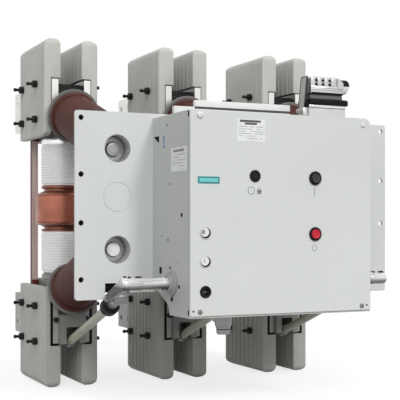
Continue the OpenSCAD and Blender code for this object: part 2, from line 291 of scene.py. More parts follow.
PLASTICS = (
    # Painted shade: black that stands in for the shade in gaps, notches and the insulators' bores
    ("joint_black", (16, 16, 16), 0.6, 0.08),
    # Painted highlight: white of the lower bolt caps
    ("cap_white", (244, 244, 242), 0.4),
    ("oxide_paint", (96, 40, 36), 0.5),
    # Painted shade: black and dark grey of the block that stands in for the unlit gap between each upper
    # head's bars
    ("cover_black", (24, 24, 24), 0.5, 0.15),
    ("cover_rib", (74, 72, 70), 0.5),
    ("rubber", (24, 23, 24), 0.5, 0.25, 0.2),
    ("black_plastic", (16, 16, 17), 0.42, 0.16),
    ("dark_shadow", (26, 26, 27), 0.7, 0.08),
    ("white_plastic", (238, 238, 238), 0.4),
    ("mid_grey", (150, 151, 150), 0.5),
    ("pale_grey", (214, 214, 213), 0.45),
    ("button_black", (58, 60, 60), 0.45),
    ("button_red", (200, 44, 62), 0.4),
    ("barrel_grey", (26, 26, 27), 0.4),
    ("shutter_grey", (84, 84, 84), 0.4),
    ("screw_grey", (140, 140, 139), 0.45),
    ("label_ink", (92, 92, 94), 0.6),
    ("faint_ink", (176, 177, 178), 0.6),
    ("teal_plate", (64, 150, 152), 0.4),
    ("teal_field", (128, 214, 214), 0.4),
    ("mark_ink", (150, 151, 150), 0.6),
    # Painted shade: dark grey of the gap under the duct's lid
    ("duct_joint", (84, 84, 84), 0.6),
    ("duct_pale", (228, 229, 228), 0.45),
    ("sealing_black", (20, 20, 21), 0.45, 0.12),
    ("neck_grey", (112, 113, 112), 0.5),
    ("latch_dark", (46, 46, 46), 0.45),
    ("latch_pale", (178, 179, 175), 0.4),
    ("side_ink", (150, 150, 148), 0.6),
    ("side_faint", (186, 186, 184), 0.6),
    ("blue_mark", (84, 120, 188), 0.6),
)


def cast_resin():
    """Cast epoxy: deep red-brown, glossy skin with slow waves and dust in the gloss, and corners lightened as
    a painted highlight.
    """
    resin = Finish("cast_resin", Specular_IOR_Level=0.16, Coat_Roughness=0.2)
    cloud = resin.noise(9.0, 4.0)
    dust = resin.noise(160.0, 5.0, rough=0.7)
    base = resin.mix(cloud.ramp(0.3, 0.7), srgb(84, 42, 34), srgb(66, 32, 26))
    base = resin.mix(dust.ramp(0.5, 0.8) * 0.1, base, srgb(124, 82, 74))
    # Painted highlight: the corners are lightened pinkish as if they caught the light
    edge_rub_and_glint = resin.edges(0.0015) * 0.25
    base = resin.mix(edge_rub_and_glint, base, srgb(150, 118, 112))
    resin.done(Base_Color=base, Roughness=0.36 + dust * 0.14, Coat_Weight=0.04 - dust * 0.02,
               Normal=resin.bump(cloud, 0.15, 0.002))


def glazed_ceramic():
    """White alumina with a thin glaze."""
    body = Finish("glazed_ceramic", Specular_IOR_Level=0.8, Coat_Roughness=0.06)
    cloud = body.noise(12.0, 3.0)
    fleck = body.cells(420.0).ramp(0.05, 0.0)
    base = body.mix(cloud.ramp(0.3, 0.75), srgb(251, 251, 250), srgb(246, 246, 245))
    base = body.mix(fleck * 0.3, base, srgb(150, 146, 138))
    body.done(Base_Color=base, Roughness=0.28 + cloud * 0.1, Coat_Weight=0.8 - cloud * 0.2,
              Normal=body.bump(cloud, 0.02, 0.0005))


def copper_shield():
    """Copper shield with a clear lacquer, browned in clouds, and darker at its necks and along its corners.
    """
    skin = Finish("copper_shield", Coat_Roughness=0.15)
    cloud = skin.noise(16.0, 5.0)
    ring = skin.noise(260.0, 3.0, (0.05, 0.05, 1))
    base = skin.mix(cloud.ramp(0.3, 0.7), srgb(190, 116, 92), srgb(152, 88, 68))
    base = skin.mix(ring.ramp(0.45, 0.7) * 0.18, base, srgb(98, 50, 36))
    # Darker towards the necks at both ends and along the corners
    neck = skin.math("ABSOLUTE", skin.height() + 0.0145).ramp(0.031, 0.0345)
    base = skin.mix(neck * 0.6, base, srgb(92, 52, 40))
    seam = skin.edges(0.003)
    base = skin.mix(seam * 0.55, base, srgb(92, 48, 34))
    skin.done(Base_Color=base, Metallic=0.55 + cloud * 0.2, Roughness=0.3 + cloud * 0.14,
              Coat_Weight=0.35 - cloud * 0.2, Normal=skin.bump(ring, 0.12, 0.0006))


def laminate():
    """Resin-bonded laminate: pale faces with fibres, brown sawn edges."""
    board = Finish("laminate", Specular_IOR_Level=0.35)
    fibre = board.noise(240.0, 4.0, (1, 1, 0.04))
    side = board.add("SeparateXYZ", {}, {0: board.add("NewGeometry", {}, {}, "Normal")}, "X")
    sawn = board.math("GREATER_THAN", board.math("ABSOLUTE", side), 0.7)
    face = board.mix(fibre.ramp(0.35, 0.7), srgb(212, 192, 186), srgb(188, 166, 160))
    edge = board.mix(fibre.ramp(0.35, 0.7), srgb(98, 62, 52), srgb(70, 42, 36))
    board.done(Base_Color=board.mix(sawn, face, edge), Roughness=0.5 + fibre * 0.15,
               Normal=board.bump(fibre, 0.25, 0.0006))


def glass_fibre():
    """Drawn glass-fibre rod: olive resin over long fibres."""
    rod = Finish("glass_fibre", Specular_IOR_Level=0.45, Coat_Roughness=0.25)
    fibre = rod.noise(420.0, 4.0, (1, 0.05, 0.1))
    cloud = rod.noise(25.0, 3.0)
    base = rod.mix(fibre.ramp(0.35, 0.65), srgb(204, 205, 186), srgb(176, 178, 158))
    base = rod.mix(cloud.ramp(0.4, 0.8) * 0.4, base, srgb(172, 170, 152))
    rod.done(Base_Color=base, Roughness=0.38 + fibre * 0.15, Coat_Weight=0.2 + cloud * 0.1,
             Normal=rod.bump(fibre, 0.2, 0.0004))


def black_oxide():
    """Blackened steel: dull black, greyer on worn corners."""
    steel = Finish("black_oxide", Metallic=0.6, Specular_IOR_Level=0.4)
    cloud = steel.noise(90.0, 4.0)
    base = steel.mix(cloud.ramp(0.3, 0.7), srgb(30, 30, 30), srgb(46, 45, 44))
    base = steel.mix(steel.edges(0.0008) * 0.35, base, srgb(92, 92, 92))
    steel.done(Base_Color=base, Roughness=0.42 + cloud * 0.2, Normal=steel.bump(cloud, 0.1, 0.0003))


def label_film():
    """Printed foil: silver-white and faintly clouded; its grey bars are separate pieces."""
    film = Finish("label_film", Specular_IOR_Level=0.5)
    cloud = film.noise(40.0, 3.0)
    grain = film.noise(900.0, 2.0)
    base = film.mix(cloud.ramp(0.3, 0.7), srgb(236, 238, 238), srgb(222, 224, 225))
    film.done(Base_Color=base, Roughness=0.35 + cloud * 0.15, Normal=film.bump(grain, 0.06, 0.0001))


# ---------------------------------------------------------------- shape kit, in millimetres

def facing(axis):
    """Turn that lays the Z axis along the named one."""
    turns = {
        "X": Matrix.Rotation(math.pi / 2, 4, "Y"),
        "-X": Matrix.Rotation(-math.pi / 2, 4, "Y"),
        "Y": Matrix.Rotation(-math.pi / 2, 4, "X"),
        "-Y": Matrix.Rotation(math.pi / 2, 4, "X"),
        "Z": Matrix.Identity(4),
    }
    return turns[axis]


def outward(side):
    """Axis that points away from the object's middle on the right (1) or the left (-1)."""
    return "X" if side > 0 else "-X"


def spot(x, y, z, axis="Z"):
    """Place of a shape that was drawn upright at the origin and is to face along the axis."""
    return Matrix.Translation((x, y, z)) @ facing(axis)


def transformed(part, matrix):
    """The shape under the matrix; one that is mirrored keeps its faces outwards."""
    bmesh.ops.transform(part, matrix=matrix, verts=part.verts)
    if matrix.determinant() < 0:
        bmesh.ops.reverse_faces(part, faces=part.faces)
    return part


def moved(part, x, y, z):
    return transformed(part, Matrix.Translation((x, y, z)))


def joined(parts):
    """One bmesh holding all the given shapes, which are used up."""
    whole = bmesh.new()
    for part in parts:
        mesh = bpy.data.meshes.new("joined")
        part.to_mesh(mesh)
        part.free()
        whole.from_mesh(mesh)
        bpy.data.meshes.remove(mesh)
    return whole


def soften(part, edges, width, steps):
    """The shape with the given edges bevelled."""
    bmesh.ops.bevel(part, geom=list(edges), offset=width, offset_type="OFFSET", segments=steps,
                    profile=0.5, affect="EDGES", material=-1, clamp_overlap=True)
    return part


def eased(part, width, steps=2):
    """The shape with every sharp edge rounded."""
    sharp = [edge for edge in part.edges if len(edge.link_faces) == 2 and edge.calc_face_angle() > SHARP]
    return soften(part, sharp, width, steps)


def block(one, other, bevel=0.0, steps=2):
    """Box between two opposite corners with softened edges."""
    low, high = Vector(map(min, one, other)), Vector(map(max, one, other))
    part = bmesh.new()
    matrix = Matrix.Translation((low + high) / 2) @ Matrix.Diagonal((*(high - low), 1.0))
    bmesh.ops.create_cube(part, size=1.0, matrix=matrix)
    return soften(part, part.edges, bevel, steps) if bevel else part


def lathe(profile, steps, axis="Z"):
    """Turned shape from (radius, height) points; a profile that starts off the axis is closed to a ring."""
    part = bmesh.new()
    closing = profile[:1] if profile[0][0] else []
    ring = [part.verts.new((radius, 0.0, height)) for radius, height in profile + closing]
    edges = [part.edges.new(pair) for pair in zip(ring, ring[1:])]
    bmesh.ops.spin(part, geom=ring + edges, cent=(0, 0, 0), axis=(0, 0, 1), angle=math.tau,
                   steps=steps, use_merge=True, use_duplicate=False)
    bmesh.ops.remove_doubles(part, verts=part.verts, dist=0.0005)
    bmesh.ops.recalc_face_normals(part, faces=part.faces)
    return transformed(part, facing(axis))


def drum(radius, low, high, bevel, steps, axis="Z"):
    """Solid round bar with chamfered ends."""
    return collar(0, radius, low, high, bevel, steps, axis)


def collar(bore, radius, low, high, bevel, steps, axis="Z"):
    """Ring with chamfered outer corners."""
    profile = [(bore, low), (radius - bevel, low), (radius, low + bevel), (radius, high - bevel),
               (radius - bevel, high), (bore, high)]
    return lathe(profile, steps, axis)


def prism(points, low, high, plane, rounds=None):
    """Outline drawn in a plane and pushed through it; rounds gives corner radii by point number."""
    part = bmesh.new()
    lift = {"YZ": lambda a, b: (low, a, b), "XZ": lambda a, b: (a, low, b), "XY": lambda a, b: (a, b, low)}
    push = {"YZ": (high - low, 0, 0), "XZ": (0, high - low, 0), "XY": (0, 0, high - low)}
    corners = [part.verts.new(lift[plane](*point)) for point in points]
    part.faces.new(corners)
    for number, radius in (rounds or {}).items():
        bmesh.ops.bevel(part, geom=[corners[number]], offset=radius, offset_type="OFFSET", segments=6,
                        profile=0.5, affect="VERTICES", material=-1)
    made = bmesh.ops.extrude_face_region(part, geom=part.faces[:])
    pushed = [item for item in made["geom"] if isinstance(item, bmesh.types.BMVert)]
    bmesh.ops.translate(part, verts=pushed, vec=push[plane])
    bmesh.ops.recalc_face_normals(part, faces=part.faces)
    return part


def hex_head(flats, height, low=0.0, axis="Z"):
    """Hexagon nut or bolt head with a turned chamfer on top."""
    part = bmesh.new()
    radius = flats / math.sqrt(3)
    bmesh.ops.create_cone(part, cap_ends=True, segments=6, radius1=radius, radius2=radius, depth=height,
                          matrix=Matrix.Translation((0, 0, low + height / 2)))
    top = [edge for edge in part.edges if all(point.co.z > low + height * 0.9 for point in edge.verts)]
    return transformed(soften(part, top, height * 0.12, 1), facing(axis))


def combine(part, tool, operation):
    """Exact boolean of two shapes; both are used up."""
    objects = []
    for shape in (part, tool):
        mesh = bpy.data.meshes.new("boolean")
        shape.to_mesh(mesh)
        shape.free()
        thing = bpy.data.objects.new("boolean", mesh)
        bpy.context.scene.collection.objects.link(thing)
        objects.append(thing)
    body, cutter = objects
    change = body.modifiers.new("Boolean", "BOOLEAN")
    change.operation = operation
    change.solver = "EXACT"
    change.use_self = operation == "DIFFERENCE"
    change.object = cutter
    result = bmesh.new()
    result.from_object(body, bpy.context.evaluated_depsgraph_get())
    for thing in objects:
        mesh = thing.data
        bpy.data.objects.remove(thing)
        bpy.data.meshes.remove(mesh)
    return result


def cut(part, tools):
    """The part with every tool taken out of it."""
    return combine(part, joined(tools), "DIFFERENCE")


def piece(name, shape, coat, replaces=(), body=FRAME, smooth=32.0):
    """Finished object from a shape or a list of them, riding on a body, in the given coat."""
    if isinstance(shape, list):
        shape = joined(shape)
    bmesh.ops.scale(shape, vec=(MM, MM, MM), verts=shape.verts)
    mesh = bpy.data.meshes.new(name)
    shape.to_mesh(mesh)
    shape.free()
    mesh.materials.append(COATS[coat])
    mesh.shade_smooth()
    mesh.set_sharp_from_angle(angle=math.radians(smooth))
    thing = bpy.data.objects.new(name, mesh)
    bpy.context.scene.collection.objects.link(thing)
    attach(thing, body)
    if replaces:
        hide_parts(*replaces)


def dress(node, coat, width):
    """Finish and softened corners, width in millimetres, for a node kept as it was packed."""
    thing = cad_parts[node]
    thing.data.materials.clear()
    thing.data.materials.append(COATS[coat])
    weld = thing.modifiers.new("Weld", "WELD")
    weld.merge_threshold = 0.00001
    change = thing.modifiers.new("Bevel", "BEVEL")
    change.width = width * MM
    change.segments = 2
    change.limit_method = "ANGLE"
    change.angle_limit = SHARP_NODE
    change.harden_normals = True


# ---------------------------------------------------------------- poles

HANDS = ((-1, "left"), (1, "right"))
LEVELS = ((-1, "lower"), (1, "upper"))
BARREL_Y = 361.0
POST_START_Y = -6.0
POST_START_Z = 100.0
POST_LEAN = 18.2
POST_PITCH = 7.8
POST_BORE = 27.5
LINER_PITCH = 3.0
CERAMIC_PITCH = 6.1
# From the pole's middle to a sink's outer face and to the inner faces of its block and its web
SINK_FACE = 63.0
SINK_BLOCK = 25.0
SINK_WEB = 47.0
SINK_FRONT = 292.0
SINK_BACK = 497.0
GROOVES = 8
GROOVE_START = 322.0
GROOVE_PITCH = 22.0
STUD_DEPTHS = (352, 465)
STUD_HEIGHTS = (269, 189, -234, -314.5)
NUT_X = -350
NUT_HEIGHTS = (-158, -47.5, 47.5, 158)


def at_poles(name, shape, slot, coat, *replaces, bodies=(FRAME,) * 3, smooth=32.0):
    """The same piece at each pole, from a shape drawn at the middle one; # is the pole's number."""
    whole = joined(shape) if isinstance(shape, list) else shape
    for number, (x, body) in enumerate(zip(POLES, bodies), 1):
        nodes = [node.replace("#", str(number)) for node in replaces]
        copy = moved(whole.copy(), x, 0, 0)
        piece(name.replace("#", str(number)), copy, coat, nodes, body, smooth)
    whole.free()


def sink_blank(lower):
    """Heat sink to the right of the pole: thick block at the free end, thin web beside the bar."""
    if lower:
        low, high = -414, -189
        tall = [(SINK_BLOCK, low), (SINK_FACE, low), (SINK_FACE, high), (SINK_WEB, high),
                (SINK_WEB, -320), (SINK_BLOCK, -320)]
        rounds = {0: 14, 1: 20, 2: 3, 3: 3}
        corners = {0: 14, 1: 16, 2: 12, 3: 12}
    else:
        low, high = 149, 367
        tall = [(SINK_BLOCK, 278), (SINK_WEB, 278), (SINK_WEB, low), (SINK_FACE, low),
                (SINK_FACE, high), (SINK_BLOCK, high)]
        rounds = {2: 3, 3: 3, 4: 20, 5: 14}
        corners = {0: 12, 1: 12, 2: 16, 3: 14}
    deep = [(SINK_FRONT, low), (SINK_BACK, low), (SINK_BACK, high), (SINK_FRONT, high)]
    plan = [(0, SINK_FRONT), (SINK_FACE, SINK_FRONT), (SINK_FACE, SINK_BACK), (0, SINK_BACK)]
    across = prism(tall, SINK_FRONT, SINK_BACK, "XZ", rounds)
    along = prism(deep, 0, 100, "YZ", corners)
    above = prism(plan, -500, 500, "XY", {1: 7, 2: 5})
    return combine(combine(across, along, "INTERSECT"), above, "INTERSECT")


def groove(x, y, low, high, way):
    """Shallow flared groove cut into a face whose outside lies towards way."""
    half = [(way, 3.9), (0, 3.4), (-0.8 * way, 2.4), (-1.6 * way, 1.6), (-2.0 * way, 0.9)]
    points = [(x + a, y - b) for a, b in half] + [(x + a, y + b) for a, b in reversed(half)]
    return prism(points, low, high, "XY")


def heat_sink(lower):
    """Sand-cast sink with upright grooves in its outer face and in the block's inner one."""
    blank = eased(sink_blank(lower), 1.8, 3)
    low, high = (-416, -187) if lower else (147, 369)
    inner_low, inner_high = (-416, -318) if lower else (276, 369)
    grooves = []
    for number in range(GROOVES):
        y = GROOVE_START + GROOVE_PITCH * number
        grooves.append(groove(SINK_FACE, y, low, high, 1))
        grooves.append(groove(SINK_BLOCK, y, inner_low, inner_high, -1))
    return cut(blank, grooves)


def heat_sinks():
    """Sinks on both sides of each pole; the lower ones carry a darker copy of the coat as painted shade."""
    for level, coat in (("lower", "sink_coat_dull"), ("upper", "sink_coat")):
        sink = heat_sink(level == "lower")
        for side, hand in HANDS:
            shape = transformed(sink.copy(), Matrix.Diagonal((side, 1, 1, 1)))
            name = "heat_sink_%s_#_%s" % (level, hand)
            at_poles(name, shape, "sink_aluminium", coat, "heat_sinks_#", smooth=28.0)
        sink.free()


def stud_set(y, z, side):
    """Washer, nut and long stud with a protecting cap on the outer face of a sink."""
    shapes = [collar(4.0, 8.6, 0, 2.0, 0.4, 24), hex_head(15.5, 9.0, 1.5), drum(3.3, 9, 20, 0.4, 16),
              drum(4.2, 16.5, 23.6, 1.1, 16)]
    return transformed(joined(shapes), spot(side * SINK_FACE, y, z, outward(side)))


def sink_bolts():
    """Eight studs on the outer face of each pair of sinks."""
    for side, hand in HANDS:
        studs = [stud_set(y, z, side) for z in STUD_HEIGHTS for y in STUD_DEPTHS]
        at_poles("sink_bolts_#_" + hand, studs, "black_rubber", "black_oxide")


def ridged(start, stop, pitch, ridge):
    """Points of a profile that repeats one ridge from start until it would begin past stop."""
    points = []
    while start < stop:
        points += [(radius, start + rise) for radius, rise in ridge]
        start += pitch
    return points


def post_profile():
    """Grooved post with a plain collar at its end, measured along its axis."""
    ridge = [(49.2, 0), (46.2, 0.9), (46.2, 2.1), (49.2, 3.0), (50.0, 4.0), (50.0, 6.8)]
    points = [(0, -50), (50, -50)] + ridged(-46.0, 272, POST_PITCH, ridge)
    return points + [(49.0, 277), (46.4, 278.4), (46.4, 283), (50.5, 284.2), (53.2, 286), (54, 288.4),
                     (54, 292.6), (53.0, 294.6), (50.4, 295.4), (50.4, 296), (0, 296)]


def post_axis(side):
    """From the Z axis to the axis of the upper (1) or lower (-1) post."""
    turn = Matrix.Rotation(math.radians(side * POST_LEAN - 90), 4, "X")
    return Matrix.Translation((0, POST_START_Y, side * POST_START_Z)) @ turn


def insulators():
    """Posts cut flush with the mounting plate and bored for their bolts."""
    post = transformed(lathe(post_profile(), 72), post_axis(1))
    front = block((-90, -90, -60), (90, 0, 260))
    bore = moved(drum(POST_BORE, -1, 28, 0.5, 56, "Y"), 0, 0, POST_START_Z)
    post = cut(post, [front, bore])
    for side, level in LEVELS:
        shape = transformed(post.copy(), Matrix.Diagonal((1, 1, side, 1)))
        at_poles("insulator_%s_#" % level, shape, "cast_resin", "cast_resin", "insulators_#")
    post.free()


def bore_liner():
    """Turned steel tube with fine rings that lines the bore of an insulator's foot."""
    points = [(26.4, 27), (27.3, 27), (27.3, -5.2), (26.6, -5.8), (26.2, -5.2)]
    points += ridged(-3.0, 24, LINER_PITCH, [(26.2, 0), (26.7, 0.6), (26.7, 1.5), (26.2, 2.1)])
    return moved(lathe(points, 64, "Y"), 0, 0, POST_START_Z)


def post_bolt(flat):
    """Fixing bolt of an insulator as it stands in its bore: step ring, a black seat as painted shade deep in
    the bore, and round cap.
    """
    ring = joined([collar(15.4, 26.2, 0, 5, 1.2, 56), collar(17.4, 22.5, 5, 6.2, 0.5, 48)])
    # Painted shade: the black seat stands for the dark floor of the bore round the cap
    dark = collar(4, 16.2, 0, 4.4, 0.6, 48)
    cap = [(0, 3), (13.2, 3), (14.2, 4)]
    if flat:
        cap += [(14.2, 10.4), (13.2, 11.6), (0, 11.9)]
    else:
        cap += [(14.2, 9.4), (13.4, 10.8), (9.6, 11.4), (9.0, 12.2), (0, 12.6)]
    seat = spot(0, 28, POST_START_Z, "-Y")
    return [transformed(part, seat) for part in (ring, dark, lathe(cap, 48))]


def post_bolts():
    """Lined bores seen through the plate; the lower bolts' caps are white as a painted highlight."""
    for side, level in LEVELS:
        ring, seat, cap = post_bolt(side < 0)
        # Painted highlight: the lower caps are white, while the upper ones keep the liner's grey steel
        cap_coat, cap_slot = ("cap_white", "white_plastic") if side < 0 else ("liner_steel", "zinc_casting")
        for label, part, coat, slot in (
                ("bore_liner", bore_liner(), "liner_steel", "zinc_casting"),
                ("bore_step", ring, "liner_steel", "zinc_casting"),
                ("bolt_seat", seat, "joint_black", "dark_latch"), ("bolt_cap", cap, cap_coat, cap_slot)):
            shape = transformed(part, Matrix.Diagonal((1, 1, side, 1)))
            at_poles("%s_%s_#" % (label, level), shape, slot, coat)


def weld_nuts():
    """Nuts welded behind the fixing holes along the plate's left edge."""
    nuts = []
    for z in NUT_HEIGHTS:
        nut = cut(hex_head(17, 12, 0.0, "Y"), [drum(5.5, -1, 8, 0.1, 24, "Y")])
        nuts.append(moved(nut, NUT_X, 0, z))
    piece("weld_nuts", nuts, "black_oxide")


def notch_guards():
    """Black strip behind the upper side of each notch of the plate, as painted shade seen through the notch.
    """
    points = [(-30, -184.5), (30, -184.5), (30, -158), (-30, -158)]
    shade_strip = eased(prism(points, 0.2, 5, "XZ", {2: 3, 3: 3}), 0.5, 1)
    at_poles("notch_guard_#", shade_strip, "black_rubber", "joint_black")


def ceramic_profile(low, high):
    """Barrel with narrow deep grooves between two plain ends."""
    ridge = [(46.0, 0), (46.0, 0.9), (47.5, 1.4), (48, 2.6), (48, 5.0), (47.2, 5.6)]
    points = [(0, low), (44, low), (44.8, low + 0.8), (44.8, low + 3.5)]
    points += ridged(low + 4.0, high - 9, CERAMIC_PITCH, ridge)
    return points + [(44.8, points[-1][1] + 0.9), (44.8, high - 0.8), (44, high), (0, high)]


# Rolled copper jacket with bevelled shoulders and a grooved neck at each end
SHIELD = [(0, -65), (46.4, -65), (47, -64.4), (47, -61), (45.8, -60), (41, -59.4), (41, -55.2), (45, -54.6),
          (47, -53.4), (48.5, -51.6), (52.5, -51), (54.5, -50.4), (58, -46.6), (58.9, -44.6), (59, -42.6),
          (59, 14), (58.9, 16), (58, 18), (54.5, 21.8), (52.5, 22.5), (48.5, 23.2), (47, 24.8), (45, 26),
          (41, 26.6), (41, 31.4), (45.8, 32.2), (47, 33.4), (47, 38.4), (46.4, 39), (0, 39)]
END_CAP = [(0, 132), (45, 132), (46.4, 132.8), (47, 134), (47, 144), (46.4, 145.4), (45, 146), (0, 146)]
CLAMP_RING = [(0, -178), (42, -178), (42, -175.2), (42.6, -174.4), (45.6, -174), (46.4, -173.2),
              (46.4, -163.8), (45.6, -163), (42.6, -162.6), (42, -161.8), (42, -159.3), (41.4, -159),
              (0, -159)]


def barrel_piece(name, profile, steps, slot, coat, node):
    """Turned piece round each interrupter's axis."""
    at_poles(name, moved(lathe(profile, steps), 0, BARREL_Y, 0), slot, coat, node)


def interrupters():
    """Two grooved barrels, the end cap and the copper shield of each pole."""
    for name, profile, coat in (("ceramic_upper_#", ceramic_profile(39, 132), "glazed_ceramic"),
                                ("ceramic_lower_#", ceramic_profile(-159, -65), "glazed_ceramic"),
                                ("end_cap_#", END_CAP, "polished_cap")):
        barrel_piece(name, profile, 72, "white_ceramic", coat, "interrupter_ceramics")
    barrel_piece("shield_#", SHIELD, 96, "copper_shield", "copper_shield", "interrupter_shields")


def shield_bands():
    """Dark brown rings at both shoulders and necks of the shields."""
    rings = []
    for radius, low in ((59.0, 15.4), (59.0, -45.0), (47.1, 32.6), (47.1, -61.4)):
        inner, outer = radius - 1.5, radius + 0.35
        ring = [(inner, low - 0.6), (outer, low), (outer, low + 1.2), (inner, low + 1.8)]
        rings.append(moved(lathe(ring, 72), 0, BARREL_Y, 0))
    at_poles("shield_bands_#", rings, "copper_shield", "browned_copper")


def flange_nuts():
    """Nuts below the flange that ties each insulator to its head."""
    nuts = []
    for side in SIDES:
        for angle in (45, 135, 225, 315):
            turn = math.radians(angle)
            place = post_axis(side) @ spot(40 * math.cos(turn), 40 * math.sin(turn), 301)
            nuts.append(transformed(joined([collar(5, 9, 0, 1.6, 0.3, 20), hex_head(15, 9, 1.6)]), place))
    at_poles("flange_nuts_#", nuts, "black_rubber", "black_oxide")


def clamp_rings():
    """Clamp ring under each interrupter with its row of socket screws."""
    barrel_piece("clamp_ring_#", CLAMP_RING, 72, "cast_head", "cast_head", "interrupter_caps")
    screws = []
    for step in range(8):
        turn = math.radians(22.5 + 45 * step)
        place = spot(42.5 * math.cos(turn), BARREL_Y + 42.5 * math.sin(turn), -168.5)
        head = joined([collar(2.2, 4.6, -1.5, 3.2, 0.5, 20), drum(2.4, -1.5, 1.4, 0.2, 6)])
        screws.append(transformed(head, place @ Matrix.Rotation(turn, 4, "Z") @ facing("X")))
    at_poles("clamp_screws_#", screws, "black_rubber", "black_oxide")


def strut_brackets():
    """Shoe that ties each strut to the head at both of its ends."""
    shoes = []
    for side in SIDES:
        for low, high in ((-215, -180), (148, 172)):
            shoes.append(block((side * 30, 450.4, low), (side * 46, 455.8, high), 1.2))
        for z in (-206, -190, 156, 166):
            shoes.append(transformed(hex_head(8, 3.5), spot(side * 37.5, 450.4, z, "-Y")))
    at_poles("strut_shoes_#", shoes, "laminate_strut", "oxide_paint")


def cheek_screws():
    """Small screws on the heads' fronts and the bolts beside the lower bars."""
    heads = []
    for side in SIDES:
        for y, z in ((312, 236), (312, 160), (300, -198)):
            heads.append(transformed(hex_head(8, 4), spot(side * 20, y, z, "-Y")))
        bolt = joined([collar(2.6, 6.4, 0, 1.4, 0.3, 20), hex_head(10, 5, 1.2)])
        heads.append(transformed(bolt, spot(side * 35.5, 292, -262.5, "-Y")))
    at_poles("head_screws_#", heads, "black_rubber", "black_oxide")


def head_covers():
    """Dark block on each upper head, between the terminal bars, as painted shade for the unlit gap between
    the sinks, with two raised ribs at its front.
    """
    points = [(297, 206), (480, 206), (480, 268), (312, 268), (297, 252)]
    shell = eased(prism(points, -29, 29, "YZ", {2: 8, 3: 6, 4: 4}), 1.6)
    at_poles("head_cover_#", shell, "black_rubber", "cover_black")
    ribs = [block((-26, 295.4, low), (26, 297.6, high), 0.8) for low, high in ((226, 231), (240, 243))]
    at_poles("cover_ribs_#", ribs, "dark_latch", "cover_rib")


def bar_gaskets():
    """Black strips between the lower head, its bars and the sinks' webs, as painted shade in the gaps."""
    strips = []
    for side in SIDES:
        for near, low, high in ((42.6, -316, -219), (29.0, -320.2, -315)):
            strips.append(block((side * near, 291.2, low), (side * 48.4, 492, high), 0.2, 1))
    at_poles("joint_strips_#", strips, "black_rubber", "joint_black")


# ---------------------------------------------------------------- shaft and rods

SHAFT_Y, SHAFT_Z = -106, -163
ROD_BODIES = ("rod_left", "rod_middle", "rod_right")
ROD_AXIS = Matrix.Translation((0, -16, -195)) @ Matrix.Rotation(math.radians(-20.5), 4, "X")
BUFFER = [(0, 47), (15.5, 47), (17.6, 48), (18.5, 50), (18.5, 58), (17.4, 59.2), (17.4, 61), (18.5, 62.2),
          (18.5, 66.6), (17.9, 68.4), (16.6, 69), (0, 69)]
ROD = [(0, 69), (9.5, 69), (9.5, 350.6), (8.1, 352), (0, 352)]
EYE_BOSS = [(5.8, -15), (12.4, -15), (13.6, -14.2), (14, -12.6), (14, 12.6), (13.6, 14.2),
            (12.4, 15), (5.8, 15)]
EYE_NECK = [(0, 10), (9.4, 10), (9.4, 30), (8.6, 31), (8.6, 32.6), (10, 33.6), (10, 46.2), (9.4, 47), (0, 47)]
EYE_PIN = [(0, -29), (5.4, -29), (6, -28.4), (6, 15.4), (5.4, 16), (0, 16)]


def shaft_trim():
    """Clamp screws on the levers' hubs."""
    screws = []
    for x in POLES:
        for offset, rise in ((-23, 12.4), (-13.5, 11.4), (2, 11.4), (8.2, 11.4)):
            screw = joined([collar(1.6, 3.2, 0, 3.2, 0.4, 18), drum(1.8, 0, 2.0, 0.2, 6)])
            screws.append(moved(screw, x + offset, SHAFT_Y, SHAFT_Z + rise))
    piece("lever_screws", screws, "black_oxide", body="shaft")


def shaft_grooves():
    """Circlips beside the outer levers."""
    clip = [(10.9, 0), (12.6, 0), (12.9, 0.3), (12.9, 1.4), (12.6, 1.7), (10.9, 1.7)]
    rings = [moved(lathe(clip, 40, "X"), side * 221, SHAFT_Y, SHAFT_Z) for side in SIDES]
    piece("shaft_rings", rings, "shaft_steel", body="shaft")


def rods():
    """Rods with their buffers and ferrules, and the cast eyes with bosses and pins in front."""
    ferrules = [collar(9.3, 12.5, low, high, 0.8, 36, "Y") for low, high in ((69, 76), (330, 343))]
    eye = [lathe(EYE_BOSS, 48, "X"), lathe(EYE_NECK, 40, "Y"), lathe(EYE_PIN, 32, "X")]
    for name, shapes, slot, coat, nodes in (
            ("rod_buffer_#", [lathe(BUFFER, 48, "Y")], "black_rubber", "rubber", ["rod_cap_#"]),
            ("glass_fibre_rod_#", [lathe(ROD, 40, "Y")], "glass_fibre_rod", "glass_fibre",
             ["operating_rod_#"]),
            ("rod_ferrules_#", ferrules, "zinc_casting", "lever_casting", []),
            ("rod_eye_casting_#", eye, "plated_steel", "eye_plate", ["rod_eye_#"])):
        shape = transformed(joined(shapes), ROD_AXIS)
        at_poles(name, shape, slot, coat, *nodes, bodies=ROD_BODIES)


# ---------------------------------------------------------------- mechanism box

FACE = -186.0
WALL = 200.0
BUTTONS_X, ON_Z, OFF_Z = 69, 40, -69
WINDOWS_X = -168
WINDOW_HEIGHTS = (-66.5, -120)
LOCK_X, LOCK_Z = -64, 41.5
CRANK_Z = -176
GLAND_X, GLAND_Y = -97, -116
LATCH_X, LATCH_Z = 70, 178
OUTLET_Y, OUTLET_Z = -124, 231.5


def turned(profile, x, z, steps=48):
    """Turned shape on the front plate; heights count outwards from its face."""
    return moved(lathe(profile, steps, "-Y"), x, FACE, z)


def face_disc(radius, x, z, height, bevel=0.3):
    """Disc lying on the front plate."""
    return moved(drum(radius, 0, height, bevel, 32, "-Y"), x, FACE, z)


def slip(x0, z0, x1, z1, low, high, bevel=0.0):
    """Flat strip on the front plate between two corners, low to high in front of its face."""
    return block((x0, FACE - high, z0), (x1, FACE - low, z1), bevel, 1)


